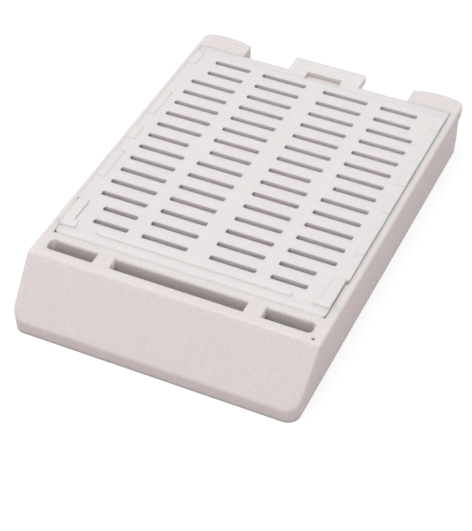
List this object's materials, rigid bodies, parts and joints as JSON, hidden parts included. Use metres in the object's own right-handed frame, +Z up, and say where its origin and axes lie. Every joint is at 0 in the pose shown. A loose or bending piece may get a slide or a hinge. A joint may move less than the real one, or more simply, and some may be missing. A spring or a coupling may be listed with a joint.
{
  "type": "tissue cassette",
  "caption": "Moulded plastic tissue cassette: slotted tray with a slanted writing face and a hinged, slotted lid that latches at the rear.",
  "frame": {"origin": "middle of the cassette's outline, on the face it rests on", "axes": "+Z up; +Y along the length, from the writing face to the latch; +X across the width"},
  "size_m": [0.0284, 0.0418, 0.0063],
  "materials": {
    "base_plastic": "fine matt moulded acetal, off-white with a faint warm tint",
    "lid_plastic": "smooth satin moulded acetal, off-white"
  },
  "bodies": {
    "base": {"base": "base_plastic"},
    "lid": {"lid": "lid_plastic"}
  },
  "joints": [
    {"name": "lid_hinge", "type": "hinge", "parent": "base", "child": "lid", "pos_m": [0, -0.01188, 0.00545], "axis": [1, 0, 0], "range_deg": [0, 110]}
  ]
}
